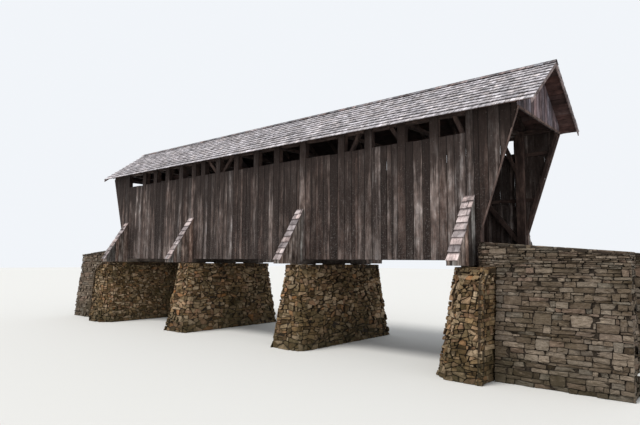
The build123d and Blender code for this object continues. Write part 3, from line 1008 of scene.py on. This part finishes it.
def add_stone(pile, outline, place, kind, thick, bends):
    """One stone on place(u, v, depth): a back, an edge and a crown that rises out of its joint."""
    typical = kind["stone"]
    size = sqrt(area(outline))
    large = size > typical * large_share
    cut = dice.uniform(*corner_cuts, (len(outline), 1))
    after = np.roll(outline, -1, axis=0)
    first, second = outline * (1 - cut) + after * cut, outline * cut + after * (1 - cut)
    if large:
        ring = np.stack([first, second], 1).reshape(-1, 2)
    else:
        ring = (first + np.roll(second, 1, axis=0)) / 2
    ring += dice.normal(0, size * 0.012, ring.shape)
    ring = np.clip(ring, outline.min(0), outline.max(0))
    centre = ring.mean(0)
    margin = size * 0.08
    crossed = [at for at in bends if ring[:, 0].min() + margin < at < ring[:, 0].max() - margin]
    if crossed:
        ring, centre = fold(ring, min(crossed, key=lambda at: abs(at - centre[0])))
    n = len(ring)
    bulge = kind["bulge"] * min(1.0, size / typical) * dice.uniform(0.7, 1.1)
    proud = kind["play"] * dice.beta(1.1, 1.6)
    slant = dice.normal(0, kind["tilt"], 2) * (0.3 if crossed else 1.0)
    tilt = slant * min(1.0, most_lean / (np.ptp((ring - centre) @ slant) + 1e-6))
    lift = ((ring - centre) @ tilt).min()
    crown = 1 - min(0.09, 0.007 / size)
    # Each ring's last number darkens it with the joint colour: grime and painted shade towards the joint.
    shape = [
        (1.0, thick, 0, 1.0),
        (1.0, proud + bulge, 0.003, 0.9),
        (crown, proud + bulge * 0.2, 0.004, 0.15),
    ]
    if large and not kind.get("flat"):
        shape.append((0.5, proud + bulge * 0.05, 0.006, 0.0))
    parts, depth = [], []
    for scale, down, rough, dirt_and_shade in shape:
        flat = centre + (ring - centre) * scale
        lean = (flat - centre) @ tilt - lift if down < thick else 0
        sink = down + lean + dice.normal(0, rough + 1e-9, n)
        parts.append(np.column_stack([flat, np.clip(sink, 0.0, thick)]))
        depth += [dirt_and_shade] * n
    parts.append(np.array([[*centre, max(0.0, proud - lift + dice.normal(0, 0.004))]]))
    local = np.concatenate(parts)
    last = (len(shape) - 1) * n
    faces = sleeve(len(shape), n) + [(last + i, last + (i + 1) % n, last + n) for i in range(n)]
    pile.add(place(*local.T), faces, local, dice.uniform(0, 1), depth + [0.0])


def lay_wall(pile, place, u_range, v_range, kind, lids=(), closed=False, thick=stone_thickness, bends=()):
    """Stones of one kind on a stretch of a wall, given as place(u, v, depth). lids are lines
    (nx, ny, limit, u from, u to) that cut the stones of a stretch, and bends where it turns a corner."""
    if "heights" in kind:
        outlines = rows(u_range, v_range, kind, lids)
    else:
        outlines = cells(u_range, v_range, kind, lids, closed)
    for outline in outlines:
        if sqrt(area(outline)) >= kind["stone"] * crumb_share:
            add_stone(pile, outline, place, kind, thick, bends)


def ring_wall(levels, closed=True):
    """A wall that follows outlines in plan, given as (height, outline) from low to high, as
    place(u, v, depth), with the places where it turns."""
    heights = np.array([height for height, _ in levels], float)
    paths = [np.array([*outline, outline[0]] if closed else outline, float) for _, outline in levels]
    middle = np.mean(paths, axis=0)
    marks = np.insert(np.cumsum(np.hypot(*np.diff(middle, axis=0).T)), 0, 0)
    length = marks[-1]

    def follow(path, u):
        u = u % length if closed else np.clip(u, 0, length)
        return np.column_stack([np.interp(u, marks, path[:, 0]), np.interp(u, marks, path[:, 1])])

    def place(u, v, depth):
        k = np.clip(np.searchsorted(heights, v, side="right") - 1, 0, len(heights) - 2)
        t = ((v - heights[k]) / (heights[k + 1] - heights[k]))[:, None]
        spots = np.array([follow(path, u) for path in paths])
        n = np.arange(len(u))
        spot = spots[k, n] * (1 - t) + spots[k + 1, n] * t
        around = u if closed else np.clip(u, soften, length - soften)
        tangent = follow(middle, around + soften) - follow(middle, around - soften)
        tangent /= np.hypot(*tangent.T)[:, None]
        out = np.column_stack([tangent[:, 1], -tangent[:, 0]])
        return np.column_stack([spot - out * depth[:, None], v])

    return place, marks


def flat_wall(origin, across, up):
    """A plane as place(u, v, depth), with depth measured inwards."""
    origin, across, up = (np.array(v, float) for v in (origin, across, up))
    out = np.cross(across, up)
    out /= np.linalg.norm(out)

    def place(u, v, depth):
        return origin + u[:, None] * across + v[:, None] * up - depth[:, None] * out

    return place


def rectangle(x0, x1, y0, y1):
    return [(x0, y0), (x1, y0), (x1, y1), (x0, y1)]


def chamfered(x0, x1, y0, y1, corner, corners_cut=(1, 1, 1, 1)):
    """A rectangle in plan, anticlockwise from its low corner, with corners cut off."""
    turns = (((0, 1), (1, 0)), ((-1, 0), (0, 1)), ((0, -1), (-1, 0)), ((1, 0), (0, -1)))
    points = []
    for (x, y), (a, b), cut in zip(rectangle(x0, x1, y0, y1), turns, corners_cut):
        if cut:
            points += [(x + a[0] * corner, y + a[1] * corner), (x + b[0] * corner, y + b[1] * corner)]
        else:
            points.append((x, y))
    return points


def add_core(pile, low, high, z_low, z_high):
    """The dark mass behind the stones."""
    n = len(low)
    points = [(*p, z_low) for p in low] + [(*p, z_high) for p in high]
    faces = sleeve(2, n) + [tuple(reversed(range(n))), tuple(range(n, 2 * n))]
    pile.add(points, faces, points, 0.5, [1.0] * (2 * n))


def lay_pier(side):
    """Rubble round a pier that flares towards its foot, and flat stones on its head."""
    points = corners(f"pier_{side}")
    low, high = extent(points)
    head_low, head_high = extent(points[points[:, 2] > seat_z - hair])
    straight_x = low[0] + (head_low[0] - low[0]) * points[:, 2] / seat_z
    flare_z = points[np.argmax(np.where(points[:, 0] < head_low[0], points[:, 0] - straight_x, 0))][2]
    flare_low, flare_high = extent(points[abs(points[:, 2] - flare_z) < hair])
    foot_end = points[(points[:, 2] < hair) & (points[:, 0] < low[0] + hair)]
    corner = high[1] - abs(foot_end[:, 1]).max()
    levels = [(0, low, high), (flare_z, flare_low, flare_high), (seat_z, head_low, head_high)]
    place, marks = ring_wall([(z, chamfered(a[0], b[0], a[1], b[1], corner)) for z, a, b in levels])
    pile = Pile()
    lay_wall(pile, place, (0, marks[-1]), (0.0, seat_z), rubble, closed=True, bends=marks)
    top = flat_wall((*head_low[:2], seat_z), (1, 0, 0), (0, 1, 0))
    margin = 0.03
    u_range, v_range = [(margin, head_high[i] - head_low[i] - margin) for i in (0, 1)]
    lay_wall(pile, top, u_range, v_range, paving)
    pile.make(f"pier_stones_{side}", rubble_stone, "rubble_stone", f"pier_{side}", sharp=sharp_stone)
    inner = [
        chamfered(a[0] + core_inset, b[0] - core_inset, a[1] + core_inset, b[1] - core_inset, corner)
        for _, a, b in levels
    ]
    mass = Pile()
    add_core(mass, inner[0], inner[1], 0.0, flare_z)
    add_core(mass, inner[1], inner[2], flare_z, seat_z - 0.05)
    mass.make(f"pier_core_{side}", core_earth, "rubble_stone")


def lay_abutment(end):
    """Rubble on the face, sides, back and top of the right abutment, or of its mirror image."""
    low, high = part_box("abutment_right")
    points = corners("abutment_right")
    seat = points[abs(points[:, 2] - seat_z) < hair]
    seat_x = seat[:, 0].min()
    shoulder_y = seat[:, 1].max()
    rear = points[(points[:, 0] > high.x - hair) & (points[:, 1] > shoulder_y + hair)]
    edge_y, edge_z = rear[rear[:, 2].argmax(), 1:]
    foot_end = points[(points[:, 2] < hair) & (points[:, 0] < low.x + hair)]
    foot_y = high.y
    batter = (foot_y - edge_y) / edge_z
    head_y = foot_y - batter * seat_z
    corner = foot_y - abs(foot_end[:, 1]).max()
    front_x = seat_x - (seat_x - low.x) * (1 - edge_z / seat_z)
    wall_low, wall_high = extent(points[points[:, 2] > seat_z + hair])

    def plan(front, half):
        return [
            (high.x, half),
            (front + corner, half),
            (front, half - corner),
            (front, corner - half),
            (front + corner, -half),
            (high.x, -half),
        ]

    foot_line, head_line = plan(low.x, foot_y), plan(seat_x, head_y)
    place, marks = ring_wall([(0, foot_line), (seat_z, head_line)], closed=False)
    length = marks[-1]
    fall = (seat_z - edge_z) / (edge_y - shoulder_y)
    corner_fall = fall / (sqrt(2) * (1 - fall * batter))
    lids = [
        (0, 1, edge_z, 0, marks[1]),
        (-corner_fall, 1, edge_z - corner_fall * marks[1], marks[1], marks[2]),
        (corner_fall, 1, edge_z + corner_fall * marks[4], marks[3], marks[4]),
        (0, 1, edge_z, marks[4], length),
    ]
    pile = Pile()
    lay_wall(pile, place, (0, length), (0, seat_z), small, lids, bends=marks[1:-1])

    back = flat_wall((high.x, 0, 0), (0, 1, 0), (0, 0, 1))
    sides = [(1, batter, foot_y, -foot_y, foot_y), (-1, batter, foot_y, -foot_y, foot_y)]
    lay_wall(pile, back, (-foot_y, foot_y), (0, edge_z), walling, sides, thick=0.10)
    crest = seat_z + fall * shoulder_y
    slopes = [(fall, 1, crest, -edge_y, edge_y), (-fall, 1, crest, -edge_y, edge_y)]
    lay_wall(pile, back, (-edge_y, edge_y), (edge_z, seat_z), small, slopes, thick=0.11)
    lay_wall(pile, back, (wall_low[1], wall_high[1]), (seat_z, road_z), rubble)

    top = flat_wall((seat_x, -shoulder_y, seat_z), (1, 0, 0), (0, 1, 0))
    nick = max(0, shoulder_y - (head_y - corner))
    depth = high.x - seat_x
    nicks = [(-1, -1, -nick, 0, depth), (-1, 1, shoulder_y * 2 - nick, 0, depth)]
    lay_wall(pile, top, (0, depth), (0, shoulder_y * 2), paving, nicks)
    road = flat_wall((wall_low[0], wall_low[1], road_z), (1, 0, 0), (0, 1, 0))
    lay_wall(pile, road, (0, wall_high[0] - wall_low[0]), (0, wall_high[1] - wall_low[1]), paving)

    run = np.hypot(edge_y - shoulder_y, seat_z - edge_z)
    rise = np.array((0, edge_y - shoulder_y, seat_z - edge_z)) / run
    cut = run * corner / (corner - (seat_x - front_x + shoulder_y - (head_y - corner)))
    reach = high.x - front_x
    near = flat_wall((front_x, -edge_y, edge_z), (1, 0, 0), rise)
    lay_wall(pile, near, (0, reach), (0, run), small, [(-1 / corner, -1 / cut, -1, 0, reach)])
    far = flat_wall((high.x, edge_y, edge_z), (-1, 0, 0), rise * (1, -1, 1))
    lay_wall(pile, far, (0, reach), (0, run), small, [(1 / corner, -1 / cut, reach / corner - 1, 0, reach)])

    def inside(line):
        return [
            (x + (core_inset if x < high.x else -core_inset), y - np.sign(y) * core_inset)
            for x, y in line
        ]

    mass = Pile()
    add_core(mass, inside(foot_line), inside(plan(front_x, edge_y)), 0.0, edge_z - 0.05)
    upper = chamfered(seat_x + core_inset, high.x - core_inset, -shoulder_y, shoulder_y, 0.15, (1, 0, 0, 1))
    add_core(mass, upper, upper, edge_z - 0.06, seat_z - 0.07)
    block = rectangle(wall_low[0] + 0.03, wall_high[0] - core_inset, wall_low[1] + 0.01, wall_high[1] - 0.01)
    add_core(mass, block, block, seat_z - 0.08, road_z - 0.06)
    if end < 0:
        pile.mirror(0)
        mass.mirror(0)
    name = end_name(end)
    pile.make(f"abutment_stones_{name}", rubble_stone, "rubble_stone", f"abutment_{name}", sharp=sharp_stone)
    mass.make(f"abutment_core_{name}", core_earth, "rubble_stone")


def lay_wing(side, end):
    """One wing wall: flat stones below and in the parapet, coarse ones at the outer end, and long
    stones along the top."""
    points = corners("wing_wall_near_right")
    low, high = extent(points)
    parapet_low, parapet_high = extent(points[points[:, 2] > seat_z + hair])
    wall_x, end_x = points[points[:, 2] < hair][:, 0].min(), high[0]
    foot_y, outer_y, inner_y = low[1], parapet_low[1], high[1]
    start_x, start_z, end_z = parapet_low[0], parapet_high[2], parapet_low[2]
    pile = Pile()
    foot_line = rectangle(wall_x, end_x, foot_y, inner_y)
    head_line = rectangle(wall_x, end_x, outer_y, inner_y)
    place, marks = ring_wall([(0, foot_line), (seat_z, head_line)], closed=False)
    lay_wall(pile, place, (0, marks[2]), (0, seat_z), walling, bends=marks[1:2])
    lay_wall(pile, place, (marks[2], marks[3]), (0, seat_z), coarse)

    run = end_x - start_x
    ring = rectangle(start_x, end_x, outer_y, inner_y)
    place, marks = ring_wall([(seat_z, ring), (start_z, ring)])
    fall = (start_z - end_z) / run
    lids = [
        (fall, 1, start_z, 0, marks[1]),
        (0, 1, end_z, marks[1], marks[2]),
        (-fall, 1, end_z - fall * marks[2], marks[2], marks[3]),
    ]
    lay_wall(pile, place, (0, marks[-1]), (seat_z, start_z), ledge, lids, thick=0.09, bends=marks)
    along = np.array((run, 0, end_z - start_z))
    top_run = np.linalg.norm(along)
    top = flat_wall((start_x, outer_y, start_z), along / top_run, (0, 1, 0))
    lay_wall(pile, top, (0, top_run), (0, inner_y - outer_y), capping, thick=0.07)

    inset = core_inset * 0.8
    mass = Pile()
    core_low = rectangle(wall_x + 0.01, end_x - inset, foot_y + inset, inner_y - inset)
    core_high = rectangle(wall_x + 0.01, end_x - inset, outer_y + inset, inner_y - inset)
    add_core(mass, core_low, core_high, 0.0, seat_z)
    inner_ring = rectangle(start_x + inset, end_x - inset, outer_y + inset, inner_y - inset)
    add_core(mass, inner_ring, inner_ring, seat_z - 0.01, end_z - 0.04)
    for axis, turned in ((1, side > 0), (0, end < 0)):
        if turned:
            pile.mirror(axis)
            mass.mirror(axis)
    name = f"{side_name(side)}_{end_name(end)}"
    pile.make(f"wing_stones_{name}", ledge_stone, "ledge_stone", f"wing_wall_{name}", sharp=sharp_stone)
    mass.make(f"wing_core_{name}", core_earth, "ledge_stone")


# Laying it all, in the order of the random draws

lay_siding(-1, board_gap)
lay_siding(1, far_gap)
lay_gable(1)
lay_gable(-1)
for lay in (lay_roof_boards, lay_shingles):
    for side in (-1, 1):
        lay(side)
lay_ridge()
lay_deck()
for side in (-1, 1):
    lay_buttresses(side)
    lay_covers(side)
lay_pier("left")
lay_pier("right")
lay_abutment(1)
lay_abutment(-1)
for side in (-1, 1):
    for end in (-1, 1):
        lay_wing(side, end)


# Timbers that keep their solid shape

upright = (0, pi / 2, 0)
lengthwise = (0, 0, 0)
crosswise = (0, 0, pi / 2)
frame_dark = ((0.013, 0.008, 0.007), (0.046, 0.029, 0.025), (0.11, 0.075, 0.064))
rafter_dark = ((0.010, 0.007, 0.006), (0.034, 0.022, 0.019), (0.08, 0.056, 0.050))
frame_grey = ((0.045, 0.035, 0.03), (0.12, 0.10, 0.088), (0.24, 0.21, 0.19))
trim_red = ((0.03, 0.018, 0.016), (0.10, 0.066, 0.058), (0.22, 0.165, 0.15))
barge_grey = ((0.06, 0.042, 0.042), (0.20, 0.155, 0.155), (0.40, 0.335, 0.34))


def both(pair, *names):
    """Node names with each of two endings."""
    return [f"{name}_{ending}" for name in names for ending in pair]


near_far, left_right = ("near", "far"), ("left", "right")
upright_nodes = [*both(near_far, "posts", "portal_jambs", "diagonals"), "buttress_struts"]
long_nodes = [*both(near_far, "sill", "top_plate", "girts"), "stringers", "ridge_board"]
finishes = (
    ("upright_timber", frame_dark, upright, upright_nodes),
    ("long_timber", frame_dark, lengthwise, long_nodes),
    ("cross_timber", frame_dark, crosswise, ["tie_beams"]),
    ("outrigger_timber", frame_grey, crosswise, ["outrigger_beams"]),
    ("rafter_near_timber", rafter_dark, (-roof_angle, 0, pi / 2), ["rafters_near"]),
    ("rafter_far_timber", rafter_dark, (roof_angle, 0, pi / 2), ["rafters_far"]),
    ("barge_timber", barge_grey, crosswise, both(left_right, "barge_boards")),
    ("trim_timber", trim_red, upright, both(left_right, "portal_trim")),
)
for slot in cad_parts["bearing_stones"].material_slots:
    slot.material = bearing_stone
for name, (dark, middle, pale), turn, nodes in finishes:
    finish = wood(name, dark, middle, pale, turn=turn, bleach=0.15, speckle=0.1)
    for node in nodes:
        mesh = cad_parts[node].data
        mesh.materials.clear()
        mesh.materials.append(finish)


# Camera, light and stage


def make_camera():
    data = bpy.data.cameras.new("camera")
    data.lens = camera_lens
    data.sensor_width = sensor_width
    data.clip_end = 400
    camera = put("camera", data)
    right = Vector((cos(camera_yaw), sin(camera_yaw), 0))
    level = Vector((-sin(camera_yaw), cos(camera_yaw), 0))
    ahead = cos(camera_pitch) * level + Vector((0, 0, sin(camera_pitch)))
    up = right.cross(ahead)
    rolled_right = cos(camera_roll) * right + sin(camera_roll) * up
    rolled_up = -sin(camera_roll) * right + cos(camera_roll) * up
    turn = Matrix((rolled_right, rolled_up, -ahead)).transposed().to_4x4()
    camera.matrix_world = Matrix.Translation(camera_place) @ turn
    bpy.context.scene.camera = camera


def make_light():
    world = bpy.data.worlds.new("sky")
    bpy.context.scene.world = world
    world.use_nodes = True
    sky = Nodes(world.node_tree)
    background = sky.tree.nodes["Background"].inputs
    background["Color"].default_value = (0.93, 0.96, 1.0, 1)
    ray = sky.node("ShaderNodeLightPath").outputs
    seen = sky.maths("MAXIMUM", ray["Is Camera Ray"], ray["Is Glossy Ray"])
    seen = sky.maths("MAXIMUM", seen, ray["Is Transmission Ray"])
    sky.feed(background["Strength"], sky.range(seen, 0.0, 1.0, 0.62, 0.95))
    for name, energy, angle, direction in (
        ("key", 2.1, 24, (-0.18, -0.42, 0.90)),
        ("fill", 0.45, 60, (0.9, -0.35, 0.35)),
    ):
        data = bpy.data.lights.new(name, "SUN")
        data.energy = energy
        data.angle = radians(angle)
        data.color = (1.0, 0.97, 0.93)
        put(name, data).rotation_euler = Vector(direction).to_track_quat("Z", "Y").to_euler()


def make_floor():
    size = 150
    mesh = bpy.data.meshes.new("floor")
    mesh.from_pydata([(x, y, 0) for x, y in rectangle(-size, size, -size, size)], [], [(0, 1, 2, 3)])
    shader = Shader("pale_floor")
    shader.surface["Base Color"].default_value = (0.72, 0.72, 0.70, 1)
    shader.surface["Roughness"].default_value = 0.9
    mesh.materials.append(shader.material)
    floor = put("floor", mesh)
    floor.location.z = -0.002


make_camera()
make_light()
make_floor()
bpy.context.scene.view_settings.view_transform = "Standard"
